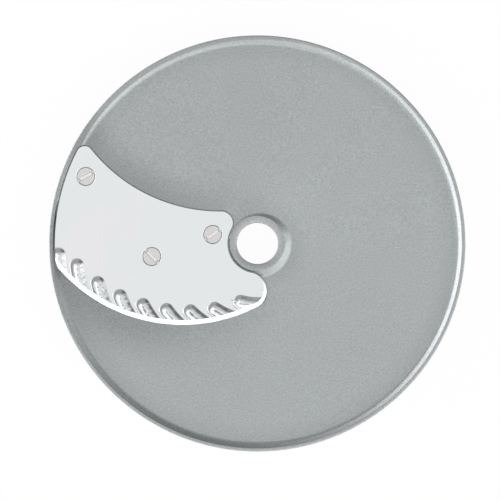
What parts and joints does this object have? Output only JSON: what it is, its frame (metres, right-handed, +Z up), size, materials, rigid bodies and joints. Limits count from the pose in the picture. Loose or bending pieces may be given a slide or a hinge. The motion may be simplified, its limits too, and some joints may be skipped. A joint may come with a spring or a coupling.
{
  "type": "ripple cut disc",
  "caption": "Round cast disc with a central bore, a ramped plate and a fluted blade over a slice window, for cutting vegetables into rippled slices.",
  "frame": {"origin": "on the bore's axis, in the plane of the hub's and the rim's lower faces that the disc rests on", "axes": "+Z up along the bore's axis, out of the cutting side; seen from +Z the disc turns counter-clockwise, and the blade lies towards -X, its cutting edge facing -Y"},
  "size_m": [0.19, 0.19, 0.0144],
  "materials": {
    "disc_casting": "satin, finely blasted cast aluminium",
    "ripple_blade": "mirror polished stainless steel with a ground cutting edge",
    "blade_screws": "turned stainless steel"
  },
  "bodies": {
    "root": {"disc_casting": "disc_casting", "ripple_blade": "ripple_blade", "screw_outer": "blade_screws", "screw_inner": "blade_screws", "screw_middle": "blade_screws"}
  },
  "joints": []
}
